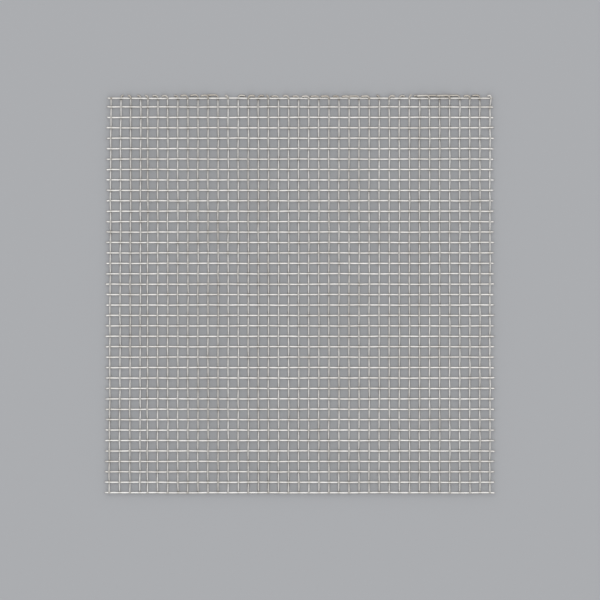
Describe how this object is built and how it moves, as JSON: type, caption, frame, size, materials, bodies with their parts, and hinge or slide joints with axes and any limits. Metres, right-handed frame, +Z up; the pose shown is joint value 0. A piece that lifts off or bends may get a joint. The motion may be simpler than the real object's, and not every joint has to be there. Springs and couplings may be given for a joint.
{
  "type": "wire gauze",
  "caption": "Square of plain-woven steel wire gauze with cut warp ends and one hooked edge, which spreads a burner's flame under a vessel.",
  "frame": {"origin": "centre of the gauze's outline, on the plane that its lower crests rest on", "axes": "+X along the straight warp wires, +Y along the crimped weft wires towards the hooked edge, +Z up out of the face that the picture shows"},
  "size_m": [0.0986, 0.1009, 0.0015],
  "materials": {
    "steel_wire": "bright drawn wire, slightly dulled"
  },
  "bodies": {
    "root": {"warp_wire_01_02": "steel_wire", "warp_wire_03_04": "steel_wire", "warp_wire_05_06": "steel_wire", "warp_wire_07_08": "steel_wire", "warp_wire_09_10": "steel_wire", "warp_wire_11_12": "steel_wire", "warp_wire_13_14": "steel_wire", "warp_wire_15_16": "steel_wire", "warp_wire_17_18": "steel_wire", "warp_wire_19_20": "steel_wire", "warp_wire_21_22": "steel_wire", "warp_wire_23_24": "steel_wire", "warp_wire_25_26": "steel_wire", "warp_wire_27_28": "steel_wire", "warp_wire_29_30": "steel_wire", "warp_wire_31_32": "steel_wire", "warp_wire_33_34": "steel_wire", "warp_wire_35_36": "steel_wire", "warp_wire_37_38": "steel_wire", "warp_wire_39": "steel_wire", "weft_wire_01": "steel_wire", "weft_wire_02": "steel_wire", "weft_wire_03": "steel_wire", "weft_wire_04": "steel_wire", "weft_wire_05": "steel_wire", "weft_wire_06": "steel_wire", "weft_wire_07": "steel_wire", "weft_wire_08": "steel_wire", "weft_wire_09": "steel_wire", "weft_wire_10": "steel_wire", "weft_wire_11": "steel_wire", "weft_wire_12": "steel_wire", "weft_wire_13": "steel_wire", "weft_wire_14": "steel_wire", "weft_wire_15": "steel_wire", "weft_wire_16": "steel_wire", "weft_wire_17": "steel_wire", "weft_wire_18": "steel_wire", "weft_wire_19": "steel_wire", "weft_wire_20": "steel_wire", "weft_wire_21": "steel_wire", "weft_wire_22": "steel_wire", "weft_wire_23": "steel_wire", "weft_wire_24": "steel_wire", "weft_wire_25": "steel_wire", "weft_wire_26": "steel_wire", "weft_wire_27": "steel_wire", "weft_wire_28": "steel_wire", "weft_wire_29": "steel_wire", "weft_wire_30": "steel_wire", "weft_wire_31": "steel_wire", "weft_wire_32": "steel_wire", "weft_wire_33": "steel_wire", "weft_wire_34": "steel_wire", "weft_wire_35": "steel_wire", "weft_wire_36": "steel_wire", "weft_wire_37": "steel_wire", "weft_wire_38": "steel_wire", "weft_wire_39": "steel_wire"}
  },
  "joints": []
}
